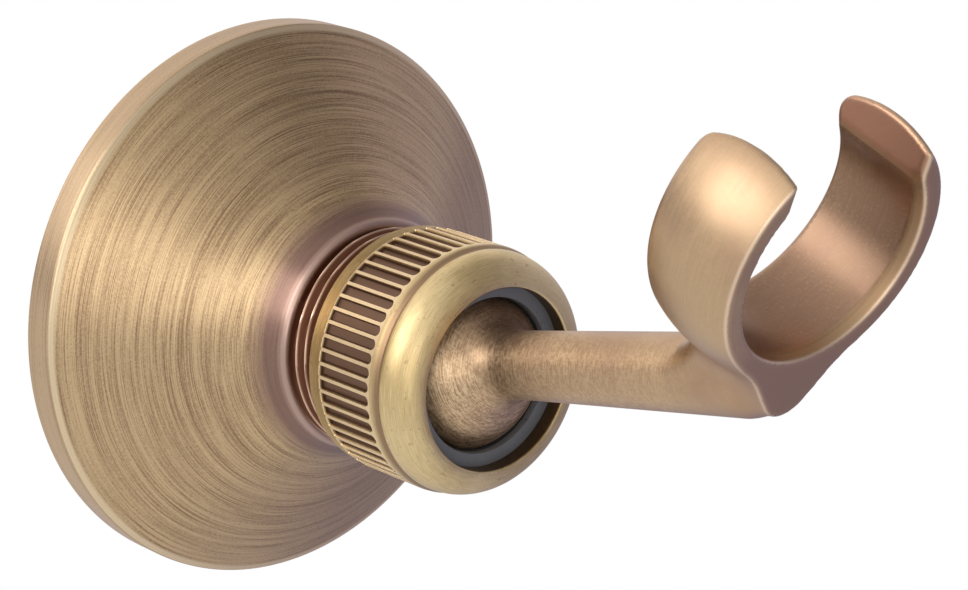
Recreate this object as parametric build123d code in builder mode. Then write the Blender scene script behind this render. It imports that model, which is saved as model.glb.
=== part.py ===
from build123d import *
import os
from math import cos, sin, radians, sqrt

os.makedirs("parts", exist_ok=True)

# Millimetres. The back face lies on the wall plane y = 0, the holder stands out along -Y, +Z is up.
# "Height" below is always the distance out from the wall.

# Main sizes: flange, nut, ball centre and the clip's bore.
flange_r = 31.0
nut_r = 13.05
ball_height = 32.0
clip_bore_r = 10.6

# Wall flange: a turned bell with a hollow back and a threaded neck.
rim_height = 3.9
rim_round = 0.4
bell_flare = 5.8
bend_rise = 6.71
wall_thickness = 2.9
lip_ledge = 0.75
lip_round = 0.45
lip_fall = 0.8
lip_drop = 11.8
neck_short = 1.0
neck_chamfer = 0.6
neck_wall = 1.45
floor_land = 0.85
roof_land = 1.93

# Ball seat behind the ball.
slip_gap = 0.1
seat_thickness = 0.8
seat_half_angle = 44.0

# Fixing screw through the middle of the flange floor.
screw_head_r = 4.5
screw_head_edge = 0.35
screw_plain_r = 2.2
screw_thread_r = 2.4
screw_tip_r = 0.4
screw_length = 46.0
screw_plain = 15.0
screw_point = 5.0
head_sunk = 0.4
head_gap = 0.1
recess_span = 5.0
recess_width = 1.1
recess_depth = 1.6

# Friction ring and slip washer in front of the ball.
ring_lead = 1.9
washer_tuck = 1.25
washer_gap = 0.2255
washer_thickness = 1.0
washer_round = 0.15
stack_gap = 0.05

# Knurled nut.
nut_wall = 1.0
nut_edge = 0.25
nut_mouth = 0.45
thread_gap = 0.1
thread_show = 4.75
land_step = 0.2
dome_r = 3.3
dome_seat = 1.85
lip_clear = 0.17
lip_edge = 0.3
chamber_step = 0.85
chamber_gap = 0.3
neck_room = 0.9
slot_count = 56
slot_width = 0.92
slot_depth = 0.4
slot_inset = 2.0
slot_end = 1.6

# Arm and clip, cast as one with the ball.
arm_lift = 12.33
arm_r_ball = 3.5
arm_r_clip = 4.05
arm_fillet = 4.5
arm_to_clip = 57.17
arm_sink = 3.08
clip_turn = 32.92
clip_width = 11.0
clip_wall = 3.4
clip_crown = 1.0
clip_back_round = 1.0
clip_mouth = 0.5
clip_mouth_depth = 1.4
gap_share = 0.7925
nose_r = 3.35
nose_back = 13.0
nose_length = 4.5
nose_run = 2.5
web_angle = 40.0
web_waist = 0.35
web_tip_r = 2.5
web_sink = 1.4
web_back = 15.5
web_root = 0.72
clip_overrun = 6.0
clip_blend = 3.4
tip_round = 0.4

# Radii from the nut in to the ball.
nut_bore_r = nut_r - nut_wall
neck_r = nut_bore_r - thread_gap
pocket_r = neck_r - neck_wall
seat_out_r = pocket_r - slip_gap
seat_in_r = seat_out_r - seat_thickness
ball_r = seat_in_r - slip_gap
lip_r = neck_r + lip_ledge
chamber_r = nut_bore_r - chamber_step
ring_r = chamber_r - chamber_gap
washer_hole_r = ball_r - washer_tuck
lip_hole_r = ball_r + lip_clear

# Heights from the ball's centre, in towards the wall and out.
neck_end = ball_height - neck_short
lip_top = ball_height - lip_drop
lip_height = lip_top - lip_fall
head_top = ball_height - pocket_r - head_sunk
head_low = head_top - screw_head_edge
hole_r = screw_thread_r + head_gap
counterbore_r = screw_head_r + head_gap
floor_back = head_low - (counterbore_r - hole_r) - floor_land
ring_back = ball_height + ring_lead
washer_back = ball_height + sqrt((ball_r + washer_gap) ** 2 - washer_hole_r**2)
washer_front = washer_back + washer_thickness
ring_front = washer_back - stack_gap
shoulder = washer_front + stack_gap
land_end = shoulder - dome_seat
nut_back = lip_top + thread_show
chamber_back = neck_end + neck_room
slot_back = nut_back + slot_inset
slot_front = land_end - slot_end

# Bell and hollow back.
bell_start_r = flange_r - rim_round
bell_bend_r = lip_r + bell_flare
bell_bend = lip_height - bend_rise
bell_slope = (bell_bend - rim_height) / (bell_start_r - bell_bend_r)
cavity_r = flange_r - wall_thickness
cavity_drop = wall_thickness * sqrt(1 + bell_slope**2)
cavity_side = rim_height + (bell_start_r - cavity_r) * bell_slope - cavity_drop
cavity_top_r = counterbore_r + roof_land

# Clip.
clip_mid_r = clip_bore_r + clip_wall
clip_face_r = clip_mid_r - clip_crown
clip_mouth_r = clip_bore_r + clip_mouth
clip_rise = clip_mid_r - arm_sink
gap_half = clip_bore_r * gap_share
arm_to_face = clip_rise / cos(radians(clip_turn))

# Turned pieces are drawn on this plane: x is the radius, y the height out from the wall.
turning = Plane(origin=(0, 0, 0), x_dir=(1, 0, 0), z_dir=(0, 0, -1))


def sphere_x(radius, height):
    return sqrt(radius**2 - (height - ball_height) ** 2)


def sphere_y(radius, x):
    return ball_height - sqrt(radius**2 - x**2)


# Wall flange: rim, bell, lip, neck, ball pocket, countersunk hole and hollow back.
with BuildPart() as wall_flange:
    with BuildSketch(turning):
        with BuildLine():
            back = Line((cavity_r, 0), (flange_r, 0))
            rim = Line(back @ 1, (flange_r, rim_height - rim_round))
            rim_edge = TangentArc(rim @ 1, (bell_start_r, rim_height), tangent=(0, 1))
            bell = Line(rim_edge @ 1, (bell_bend_r, bell_bend))
            bend = TangentArc(bell @ 1, (lip_r, lip_height), tangent=bell % 1)
            lip = TangentArc(bend @ 1, (lip_r - lip_round, lip_top), tangent=(0, 1))
            ledge = Line(lip @ 1, (neck_r, lip_top))
            neck = Line(ledge @ 1, (neck_r, neck_end - neck_chamfer))
            lead = Line(neck @ 1, (neck_r - neck_chamfer, neck_end))
            mouth = Line(lead @ 1, (sphere_x(pocket_r, neck_end), neck_end))
            pocket_side = sphere_y(pocket_r, counterbore_r)
            mid_x = pocket_r * sin(radians(55))
            pocket = ThreePointArc(
                mouth @ 1, (mid_x, sphere_y(pocket_r, mid_x)), (counterbore_r, pocket_side)
            )
            drop = Line(pocket @ 1, (counterbore_r, head_low))
            sink = Line(drop @ 1, (hole_r, head_low - (counterbore_r - hole_r)))
            hole = Line(sink @ 1, (hole_r, floor_back))
            roof = Line(hole @ 1, (cavity_top_r, floor_back))
            flank = Line(roof @ 1, (cavity_r, cavity_side))
            Line(flank @ 1, back @ 0)
        make_face()
    revolve(axis=Axis.Y)
wall_flange.part.label = "wall_flange"
export_step(wall_flange.part, "parts/wall_flange.step")

# Fixing screw: countersunk head with a cross recess, plain shank, threaded length and a point.
with BuildPart() as fixing_screw:
    with BuildSketch(turning):
        with BuildLine():
            Polyline(
                (0, head_top),
                (screw_head_r, head_top),
                (screw_head_r, head_low),
                (screw_plain_r, head_low - (screw_head_r - screw_plain_r)),
                (screw_plain_r, head_top - screw_plain),
                (screw_thread_r, head_top - screw_plain),
                (screw_thread_r, head_top - screw_length + screw_point),
                (screw_tip_r, head_top - screw_length),
                (0, head_top - screw_length),
                close=True,
            )
        make_face()
    revolve(axis=Axis.Y)
    with BuildSketch(Plane(origin=(0, -head_top, 0), x_dir=(1, 0, 0), z_dir=(0, -1, 0))):
        Rectangle(recess_span, recess_width)
        Rectangle(recess_width, recess_span)
    extrude(amount=-recess_depth, mode=Mode.SUBTRACT)
fixing_screw.part.label = "fixing_screw"
export_step(fixing_screw.part, "parts/fixing_screw.step")

# Ball seat: a thin round dish between the pocket and the ball.
with BuildPart() as ball_seat:
    half = radians(seat_half_angle)
    with BuildSketch(turning):
        with BuildLine():
            outer = ThreePointArc(
                (0, ball_height - seat_out_r),
                (seat_out_r * sin(half / 2), ball_height - seat_out_r * cos(half / 2)),
                (seat_out_r * sin(half), ball_height - seat_out_r * cos(half)),
            )
            edge = Line(outer @ 1, (seat_in_r * sin(half), ball_height - seat_in_r * cos(half)))
            inner = ThreePointArc(
                edge @ 1,
                (seat_in_r * sin(half / 2), ball_height - seat_in_r * cos(half / 2)),
                (0, ball_height - seat_in_r),
            )
            Line(inner @ 1, outer @ 0)
        make_face()
    revolve(axis=Axis.Y)
ball_seat.part.label = "ball_seat"
export_step(ball_seat.part, "parts/ball_seat.step")

# Friction ring: its inner face is round to the ball.
with BuildPart() as friction_ring:
    with BuildSketch(turning):
        with BuildLine():
            ring_mid = (ring_back + ring_front) / 2
            face = Polyline(
                (sphere_x(seat_in_r, ring_back), ring_back),
                (ring_r, ring_back),
                (ring_r, ring_front),
                (sphere_x(seat_in_r, ring_front), ring_front),
            )
            ThreePointArc(face @ 1, (sphere_x(seat_in_r, ring_mid), ring_mid), face @ 0)
        make_face()
    revolve(axis=Axis.Y)
friction_ring.part.label = "friction_ring"
export_step(friction_ring.part, "parts/friction_ring.step")

# Slip washer: the flat ring seen inside the nut's mouth.
with BuildPart() as slip_washer:
    with BuildSketch(turning):
        with BuildLine():
            Polyline(
                (washer_hole_r, washer_back),
                (ring_r, washer_back),
                (ring_r, washer_front),
                (washer_hole_r + washer_round, washer_front),
                (washer_hole_r, washer_front - washer_round),
                close=True,
            )
        make_face()
    revolve(axis=Axis.Y)
slip_washer.part.label = "slip_washer"
export_step(slip_washer.part, "parts/slip_washer.step")

# Knurled nut: straight milled slots round the band, a round dome and an open lip.
with BuildPart() as knurled_nut:
    dome_x = nut_r - land_step - dome_r
    dome_end = lip_hole_r + lip_edge
    dome_top = land_end + sqrt(dome_r**2 - (dome_end - dome_x) ** 2)
    diagonal = dome_r * cos(radians(45))
    with BuildSketch(turning):
        with BuildLine():
            band = Polyline(
                (nut_bore_r + nut_mouth, nut_back),
                (nut_r - nut_edge, nut_back),
                (nut_r, nut_back + nut_edge),
                (nut_r, land_end),
                (nut_r - land_step, land_end),
            )
            dome = ThreePointArc(
                band @ 1, (dome_x + diagonal, land_end + diagonal), (dome_end, dome_top)
            )
            edge = TangentArc(dome @ 1, (lip_hole_r, dome_top - lip_edge), tangent=(-1, 0))
            Polyline(
                edge @ 1,
                (lip_hole_r, shoulder),
                (chamber_r, shoulder),
                (chamber_r, chamber_back),
                (nut_bore_r, chamber_back),
                (nut_bore_r, nut_back + nut_mouth),
                band @ 0,
            )
        make_face()
    revolve(axis=Axis.Y)
    slot_planes = []
    for number in range(slot_count):
        turn = radians(360 * (number + 0.5) / slot_count)
        out = (cos(turn), 0, sin(turn))
        middle = (nut_r * cos(turn), -(slot_back + slot_front) / 2, nut_r * sin(turn))
        slot_planes.append(Plane(origin=middle, x_dir=(0, 1, 0), z_dir=out))
    with BuildSketch(*slot_planes):
        SlotOverall(slot_front - slot_back, slot_width)
    extrude(amount=-slot_depth, mode=Mode.SUBTRACT)
knurled_nut.part.label = "knurled_nut"
export_step(knurled_nut.part, "parts/knurled_nut.step")

# Holder arm: ball, tapered arm and open clip in one casting.
lift = radians(arm_lift)
dip = radians(arm_lift - clip_turn)
along = Vector(0, -cos(lift), sin(lift))
above = Vector(0, sin(lift), cos(lift))
ball_centre = Vector(0, -ball_height, 0)
clip_centre = ball_centre + along * arm_to_clip + above * clip_rise
clip_out = Vector(0, -cos(dip), sin(dip))
arm_plane = Plane(origin=ball_centre, x_dir=above, z_dir=above.cross(along))
clip_plane = Plane(origin=clip_centre, x_dir=(1, 0, 0), z_dir=clip_out)
clip_side = Plane(origin=clip_centre, x_dir=clip_plane.y_dir, z_dir=clip_plane.y_dir.cross(clip_out))
with BuildPart() as holder_arm:
    reach = sqrt((ball_r + arm_fillet) ** 2 - (arm_r_ball + arm_fillet) ** 2)
    share = ball_r / (ball_r + arm_fillet)
    ball_end = ((arm_r_ball + arm_fillet) * share, reach * share)
    nose_start = arm_to_clip - nose_back
    with BuildSketch(arm_plane):
        with BuildLine():
            ball = ThreePointArc((0, -ball_r), (ball_r, 0), ball_end)
            blend = TangentArc(ball @ 1, (arm_r_ball, reach), tangent=ball % 1)
            rod = Line(blend @ 1, (arm_r_clip, nose_start))
            nose = Spline(rod @ 1, (nose_r, nose_start + nose_length), tangents=(rod % 1, (0, 1)))
            run = Line(nose @ 1, (nose_r, nose_start + nose_length + nose_run))
            end = TangentArc(run @ 1, run @ 1 + Vector(-nose_r, nose_r), tangent=(0, 1))
            Line(end @ 1, ball @ 0)
        make_face()
    revolve(axis=Axis(ball_centre, along))
    # Clip barrel, longer at first than its front face, blended into the arm and cut off there.
    crown_r = ((clip_width / 2) ** 2 + clip_crown**2) / (2 * clip_crown)
    overrun_r = clip_mid_r - crown_r + sqrt(crown_r**2 - (clip_width / 2 + clip_overrun) ** 2)
    with BuildSketch(clip_side) as barrel_section:
        with BuildLine():
            barrel = ThreePointArc(
                (overrun_r, clip_overrun), (clip_mid_r, -clip_width / 2), (clip_face_r, -clip_width)
            )
            Polyline(barrel @ 1, (0, -clip_width), (0, clip_overrun), barrel @ 0)
        make_face()
        fillet(barrel_section.vertices().group_by(Axis.Y)[0].sort_by(Axis.X)[-1], radius=clip_back_round)
    revolve(axis=Axis(clip_centre, clip_out))
    fillet(holder_arm.edges(Select.NEW), radius=clip_blend)
    with BuildSketch(clip_plane):
        Circle(4 * clip_mid_r)
    extrude(amount=2 * clip_width, mode=Mode.SUBTRACT)
    # Bore with a wider mouth, then the gap on top and its rounded tips.
    with BuildSketch(clip_side):
        with BuildLine():
            Polyline(
                (0, 1),
                (clip_mouth_r, 1),
                (clip_mouth_r, 0),
                (clip_bore_r, -clip_mouth_depth),
                (clip_bore_r, -3 * clip_width),
                (0, -3 * clip_width),
                close=True,
            )
        make_face()
    revolve(axis=Axis(clip_centre, clip_out), mode=Mode.SUBTRACT)
    with BuildSketch(clip_plane):
        with Locations((0, clip_mid_r)):
            Rectangle(2 * gap_half, 2 * clip_mid_r)
    extrude(amount=-2 * clip_width, mode=Mode.SUBTRACT)
    fillet(holder_arm.faces().filter_by(Axis.X).edges(), radius=tip_round)
    # Web under the clip, from the rim down to the arm's end.
    lean = radians(web_angle)
    tip_y = -arm_to_face - web_sink
    web_top = (clip_face_r * sin(lean), -clip_face_r * cos(lean))
    web_low = (web_tip_r * sin(lean), tip_y - web_tip_r * cos(lean))
    web_mid = (
        (web_top[0] + web_low[0]) / 2 - web_waist * sin(lean),
        (web_top[1] + web_low[1]) / 2 + web_waist * cos(lean),
    )
    root_r = arm_r_clip * web_root
    root = Plane(origin=ball_centre + along * (arm_to_clip - web_back), x_dir=(1, 0, 0), z_dir=along)
    root_top = (root_r, root_r / 2)
    root_mid = (0.8 * root_r, -root_r / 4)
    root_low = (root_r / 2, -root_r)
    web_ends = (
        (clip_plane, web_top, web_mid, web_low, tip_y - web_tip_r, -(clip_bore_r + clip_face_r) / 2),
        (root, root_top, root_mid, root_low, -1.1 * root_r, 0.4 * root_r),
    )
    for plane, top, waist, low, lowest, highest in web_ends:
        with BuildSketch(plane):
            with BuildLine():
                right = ThreePointArc(top, waist, low)
                tip = ThreePointArc(right @ 1, (0, lowest), (-low[0], low[1]))
                left = ThreePointArc(tip @ 1, (-waist[0], waist[1]), (-top[0], top[1]))
                ThreePointArc(left @ 1, (0, highest), right @ 0)
            make_face()
    loft(ruled=True)
holder_arm.part.label = "holder_arm"
export_step(holder_arm.part, "parts/holder_arm.step")
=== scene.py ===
import math

import bmesh
import bpy
import numpy as np
from mathutils import Matrix, Vector


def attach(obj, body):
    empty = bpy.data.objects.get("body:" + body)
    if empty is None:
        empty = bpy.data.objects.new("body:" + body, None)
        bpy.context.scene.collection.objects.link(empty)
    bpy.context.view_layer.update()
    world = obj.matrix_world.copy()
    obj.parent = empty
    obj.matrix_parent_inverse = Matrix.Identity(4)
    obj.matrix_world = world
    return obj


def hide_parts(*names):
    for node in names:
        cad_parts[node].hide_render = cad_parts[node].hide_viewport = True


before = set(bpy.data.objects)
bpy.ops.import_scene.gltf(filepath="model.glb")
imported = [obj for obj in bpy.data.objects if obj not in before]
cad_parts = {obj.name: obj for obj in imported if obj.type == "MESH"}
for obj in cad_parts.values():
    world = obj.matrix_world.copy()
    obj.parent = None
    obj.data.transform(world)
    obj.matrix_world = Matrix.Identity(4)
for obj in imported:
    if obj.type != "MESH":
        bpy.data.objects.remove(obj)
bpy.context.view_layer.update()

# Wall flange: a bell turned from brass bar, hollow behind, with a threaded neck for the nut.
# Its antique finish is brushed on the lathe, so fine lines run round the axis everywhere.
MM = 0.001
FLANGE_R = 30.99
FLANGE_SIDES = 256
RIM_HEIGHT = 3.9
RIM_ROUND = 0.4
RIM_EDGE = 0.2
BELL_SLOPE = math.radians(36.0)
BELL_BEND_R = 18.5
WALL = 2.9
LIP_R = 12.7
LIP_HEIGHT = 19.4
LIP_TOP = 20.2
LIP_ROUND = 0.45
NECK_R = 11.95
NECK_END = 31.0
NECK_CHAMFER = 0.6
THREAD_PITCH = 1.5
THREAD_DEPTH = 0.86
THREAD_START = 19.9
THREAD_LEAD = 0.02
THREAD_ROWS = 96
CREST_SHARE = 0.08
FLANK_SHARE = 0.6
BALL_HEIGHT = 32.0
POCKET_R = 10.5
POCKET_ROWS = 16
FLOOR_BACK = 17.8
HEAD_LOW = 20.75
HOLE_R = 2.5
COUNTERBORE_R = 4.6
SHARP_EDGE = math.radians(38)


def bend(start, heading, end, steps):
    """Points of the arc that leaves start along heading and reaches end."""
    chord = (end[0] - start[0], end[1] - start[1])
    length = math.hypot(*chord)
    size = math.hypot(*heading)
    hx, hy = heading[0] / size, heading[1] / size
    turn = math.asin((hx * chord[1] - hy * chord[0]) / length)
    radius = length / (2 * math.sin(turn))
    cx, cy = start[0] - hy * radius, start[1] + hx * radius
    dx, dy = start[0] - cx, start[1] - cy
    points = []
    for k in range(1, steps + 1):
        cos, sin = math.cos(2 * turn * k / steps), math.sin(2 * turn * k / steps)
        points.append((cx + dx * cos - dy * sin, cy + dx * sin + dy * cos))
    return points


def run(start, end, steps):
    """Points along a straight stretch, without its start."""
    return [
        (
            start[0] + (end[0] - start[0]) * k / steps,
            start[1] + (end[1] - start[1]) * k / steps,
        )
        for k in range(1, steps + 1)
    ]


def new_piece(name, points, faces):
    """A smooth piece of the given points, in metres, with its faces turned outward."""
    mesh = bpy.data.meshes.new(name)
    mesh.from_pydata(points, [], faces)
    shaped = bmesh.new()
    shaped.from_mesh(mesh)
    bmesh.ops.recalc_face_normals(shaped, faces=shaped.faces)
    shaped.to_mesh(mesh)
    shaped.free()
    mesh.shade_smooth()
    piece = bpy.data.objects.new(name, mesh)
    bpy.context.scene.collection.objects.link(piece)
    return piece


def turned(name, rows, angles, closed):
    """A piece turned about the flange axis. A row is (radius or function of angle, height), in mm."""
    points, rings = [], []
    for radius, height in rows:
        first = len(points)
        if radius == 0:
            points.append((0, -height * MM, 0))
        else:
            for angle in angles:
                r = radius(angle) if callable(radius) else radius
                points.append((r * math.cos(angle) * MM, -height * MM, r * math.sin(angle) * MM))
        rings.append(list(range(first, len(points))))
    faces = []
    following = rings[1:] + (rings[:1] if closed else [])
    for low, high in zip(rings, following):
        for i in range(len(angles)):
            j = (i + 1) % len(angles)
            corners = (low[i % len(low)], low[j % len(low)], high[j % len(high)], high[i % len(high)])
            faces.append(list(dict.fromkeys(corners)))
    piece = new_piece(name, points, faces)
    piece.data.set_sharp_from_angle(angle=SHARP_EDGE)
    return piece


def even_angles(count):
    return [2 * math.pi * k / count for k in range(count)]


def thread_radius(crest, depth, pitch, start, height):
    """Radius round a single-start right-hand thread at one height, as a function of angle."""

    def radius(angle):
        share = ((height - start) / pitch - angle / (2 * math.pi)) % 1.0
        from_crest = abs(share - 0.5) * 2
        return crest - depth * min(max((from_crest - CREST_SHARE) / FLANK_SHARE, 0.0), 1.0)

    return radius


slope_rise = math.tan(BELL_SLOPE)
bell_start = (FLANGE_R - RIM_ROUND, RIM_HEIGHT)
bell_end = (BELL_BEND_R, RIM_HEIGHT + (bell_start[0] - BELL_BEND_R) * slope_rise)
cavity_r = FLANGE_R - WALL
cavity_side = RIM_HEIGHT + (bell_start[0] - cavity_r) * slope_rise - WALL / math.cos(BELL_SLOPE)
cavity_top_r = cavity_r - (FLOOR_BACK - cavity_side) / slope_rise
thread_low = LIP_TOP + THREAD_LEAD
thread_rise = NECK_END - NECK_CHAMFER - thread_low
pocket_drop = NECK_END - BALL_HEIGHT + math.sqrt(POCKET_R**2 - COUNTERBORE_R**2)
flange_rows = [(cavity_r, 0.0), (FLANGE_R - RIM_EDGE, 0.0), (FLANGE_R, RIM_EDGE)]
flange_rows += run((FLANGE_R, RIM_EDGE), (FLANGE_R, RIM_HEIGHT - RIM_ROUND), 4)
flange_rows += bend(flange_rows[-1], (0, 1), bell_start, 5)
flange_rows += run(bell_start, bell_end, 16)
bell_heading = (-math.cos(BELL_SLOPE), math.sin(BELL_SLOPE))
flange_rows += bend(bell_end, bell_heading, (LIP_R, LIP_HEIGHT), 16)
flange_rows += bend((LIP_R, LIP_HEIGHT), (0, 1), (LIP_R - LIP_ROUND, LIP_TOP), 6)
flange_rows += [(NECK_R, LIP_TOP)]
thread_first = len(flange_rows)
for step in range(THREAD_ROWS + 1):
    height = thread_low + step * thread_rise / THREAD_ROWS
    flange_rows.append((thread_radius(NECK_R, THREAD_DEPTH, THREAD_PITCH, THREAD_START, height), height))
thread_last = len(flange_rows)
flange_rows += [(NECK_R - THREAD_DEPTH, NECK_END)]
for step in range(POCKET_ROWS + 1):
    height = NECK_END - step * pocket_drop / POCKET_ROWS
    flange_rows.append((math.sqrt(POCKET_R**2 - (height - BALL_HEIGHT) ** 2), height))
flange_rows += [
    (COUNTERBORE_R, HEAD_LOW),
    (HOLE_R, HEAD_LOW - (COUNTERBORE_R - HOLE_R)),
    (HOLE_R, FLOOR_BACK),
    (cavity_top_r, FLOOR_BACK),
]
flange_rows += run((cavity_top_r, FLOOR_BACK), (cavity_r, cavity_side), 8)
flange = turned("flange_bell", flange_rows, even_angles(FLANGE_SIDES), True)


def place(tree, kind, inputs=None, **settings):
    """Adds a node; inputs are values or sockets, by socket name or number."""
    made = tree.nodes.new(kind)
    for key, value in settings.items():
        setattr(made, key, value)
    for socket, source in (inputs or {}).items():
        if isinstance(source, bpy.types.NodeSocket):
            tree.links.new(source, made.inputs[socket])
        else:
            made.inputs[socket].default_value = source
    return made


def new_group(name, inputs, outputs):
    """A shader node group with float or vector inputs and float outputs."""
    tree = bpy.data.node_groups.new(name, "ShaderNodeTree")
    for label, kind, value in inputs:
        socket = tree.interface.new_socket(label, in_out="INPUT", socket_type=kind)
        if value is not None:
            socket.default_value = value
    for label in outputs:
        tree.interface.new_socket(label, in_out="OUTPUT", socket_type="NodeSocketFloat")
    return tree, tree.nodes.new("NodeGroupInput").outputs, tree.nodes.new("NodeGroupOutput").inputs


def use_group(tree, group, inputs):
    return place(tree, "ShaderNodeGroup", inputs, node_tree=group).outputs


def math_node(tree, operation, a, b=0.0, clamp=False):
    return place(tree, "ShaderNodeMath", {0: a, 1: b}, operation=operation, use_clamp=clamp).outputs[0]


def vector_node(tree, operation, a, b=(0.0, 0.0, 0.0)):
    made = place(tree, "ShaderNodeVectorMath", {0: a, 1: b}, operation=operation)
    return made.outputs["Value" if operation in ("LENGTH", "DOT_PRODUCT") else "Vector"]


def axes_of(tree, vector):
    """The three coordinates of a vector."""
    return place(tree, "ShaderNodeSeparateXYZ", {0: vector}).outputs


def noise(tree, vector, scale, detail, roughness=0.5):
    inputs = {"Vector": vector, "Scale": scale, "Detail": detail, "Roughness": roughness}
    return place(tree, "ShaderNodeTexNoise", inputs).outputs[0]


def between(tree, value, low, high, to_low=0.0, to_high=1.0):
    """A value's place from low to high, as 0 to 1 or as the range given."""
    inputs = {0: value, 1: low, 2: high, 3: to_low, 4: to_high}
    return place(tree, "ShaderNodeMapRange", inputs).outputs[0]


def common(tree, first, second):
    """Where two masks overlap."""
    return math_node(tree, "MULTIPLY", first, second)


def weighted(tree, *parts):
    """The sum of values, each times its share."""
    shares = [math_node(tree, "MULTIPLY", value, share) for value, share in parts]
    total = shares[0]
    for share in shares[1:]:
        total = math_node(tree, "ADD", total, share)
    return total


def blend_colour(tree, share, first, second):
    made = place(tree, "ShaderNodeMix", data_type="RGBA", blend_type="MIX", clamp_factor=True)
    for socket, source in ((made.inputs[0], share), (made.inputs[6], first), (made.inputs[7], second)):
        if isinstance(source, bpy.types.NodeSocket):
            tree.links.new(source, socket)
        else:
            socket.default_value = (*source, 1.0)
    return made.outputs[2]


def stain(tree, colour, where, strength, new_colour):
    """Lays a new colour over another where a mask says, up to a strength."""
    return blend_colour(tree, math_node(tree, "MULTIPLY", where, strength), colour, new_colour)


# Lathe lines: long streaks round the Y axis of the given coordinates, coarse and fine.
lathe_lines, given, out = new_group(
    "lathe_lines",
    [
        ("Vector", "NodeSocketVector", None),
        ("Lines per metre", "NodeSocketFloat", 4000.0),
        ("Arc", "NodeSocketFloat", 3.0),
    ],
    ["Coarse", "Fine", "Radius"],
)
split = axes_of(lathe_lines, given["Vector"])
flat = place(lathe_lines, "ShaderNodeCombineXYZ", {0: split[0], 2: split[2]}).outputs[0]
reach = vector_node(lathe_lines, "LENGTH", flat)
aim = vector_node(lathe_lines, "NORMALIZE", flat)
aim = place(lathe_lines, "ShaderNodeVectorMath", {0: aim, "Scale": given["Arc"]}, operation="SCALE")
path = math_node(lathe_lines, "ADD", reach, math_node(lathe_lines, "MULTIPLY", split[1], 0.8))
path = math_node(lathe_lines, "MULTIPLY", path, given["Lines per metre"])
streak = place(lathe_lines, "ShaderNodeCombineXYZ", {1: path}).outputs[0]
streak = vector_node(lathe_lines, "ADD", aim.outputs[0], streak)
lathe_lines.links.new(noise(lathe_lines, streak, 0.35, 3.0, 0.65), out["Coarse"])
lathe_lines.links.new(noise(lathe_lines, streak, 1.7, 2.0, 0.6), out["Fine"])
lathe_lines.links.new(reach, out["Radius"])

# Tarnish: soft cloudy patches and small dark specks left by the antique bath.
tarnish, given, out = new_group(
    "tarnish",
    [("Vector", "NodeSocketVector", None), ("Scale", "NodeSocketFloat", 90.0)],
    ["Clouds", "Specks"],
)
grain = math_node(tarnish, "MULTIPLY", given["Scale"], 16.0)
specks = noise(tarnish, given["Vector"], grain, 2.0)
tarnish.links.new(noise(tarnish, given["Vector"], given["Scale"], 4.0, 0.6), out["Clouds"])
tarnish.links.new(between(tarnish, specks, 0.66, 0.74), out["Specks"])

# Edges: a mask of where the surface turns sharply, for rubbed-through finish, and on the arm also for
# painted edge highlights.
edge_wear_and_highlight, given, out = new_group(
    "edge_wear_and_highlight", [("Width", "NodeSocketFloat", 0.0003), ("Gain", "NodeSocketFloat", 6.0)], ["Worn"]
)
soft = place(edge_wear_and_highlight, "ShaderNodeBevel", {"Radius": given["Width"]}, samples=6).outputs[0]
hard = place(edge_wear_and_highlight, "ShaderNodeNewGeometry").outputs["Normal"]
turned_away = math_node(edge_wear_and_highlight, "SUBTRACT", 1.0, vector_node(edge_wear_and_highlight, "DOT_PRODUCT", soft, hard))
edge_wear_and_highlight.links.new(math_node(edge_wear_and_highlight, "MULTIPLY", turned_away, given["Gain"], clamp=True), out["Worn"])


def new_material(name):
    """A material with its tree, its shader and the object's own coordinates."""
    made = bpy.data.materials.new(name)
    made.use_nodes = True
    tree = made.node_tree
    shader = tree.nodes["Principled BSDF"]
    return made, tree, shader, place(tree, "ShaderNodeTexCoord").outputs["Object"]


def link_finish(tree, shader, colour, roughness, relief, strength, depth):
    """Links a colour, a roughness and a fine relief, of a depth in mm, to a shader."""
    tree.links.new(colour, shader.inputs["Base Color"])
    tree.links.new(roughness, shader.inputs["Roughness"])
    inputs = {"Strength": strength, "Distance": depth * MM, "Height": relief}
    tree.links.new(place(tree, "ShaderNodeBump", inputs).outputs[0], shader.inputs["Normal"])


FLANGE_DARK = (0.262, 0.166, 0.093)
FLANGE_BRIGHT = (0.6, 0.432, 0.25)
FLANGE_SCORED = (0.2, 0.122, 0.066)
THROAT_PAINTED_SHADE = (0.205, 0.118, 0.105)
LIP_PAINTED_HIGHLIGHT = (0.56, 0.395, 0.335)
RIM_SIDE = (0.53, 0.385, 0.265)
RIM_PAINTED_HIGHLIGHT = (0.86, 0.7, 0.46)
MID_WALL = 24.2
NECK_CLEAR_R = 12.0
METAL_RELIEF = 0.04
flange_brass, tree, shader, spot = new_material("flange_brass")
lines = use_group(tree, lathe_lines, {"Vector": spot, "Lines per metre": 5400.0, "Arc": 1.3})
broad = use_group(tree, lathe_lines, {"Vector": spot, "Lines per metre": 2400.0, "Arc": 0.9})
cloud = use_group(tree, tarnish, {"Vector": spot, "Scale": 45.0})
grain = use_group(tree, tarnish, {"Vector": spot, "Scale": 4600.0})
tone = weighted(
    tree,
    (lines["Coarse"], 0.16),
    (lines["Fine"], 0.46),
    (grain["Clouds"], 0.2),
    (broad["Coarse"], 0.14),
    (cloud["Clouds"], 0.08),
)
colour = blend_colour(tree, between(tree, tone, 0.43, 0.57), FLANGE_DARK, FLANGE_BRIGHT)
colour = stain(tree, colour, between(tree, lines["Fine"], 0.36, 0.27), 0.45, FLANGE_SCORED)
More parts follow.
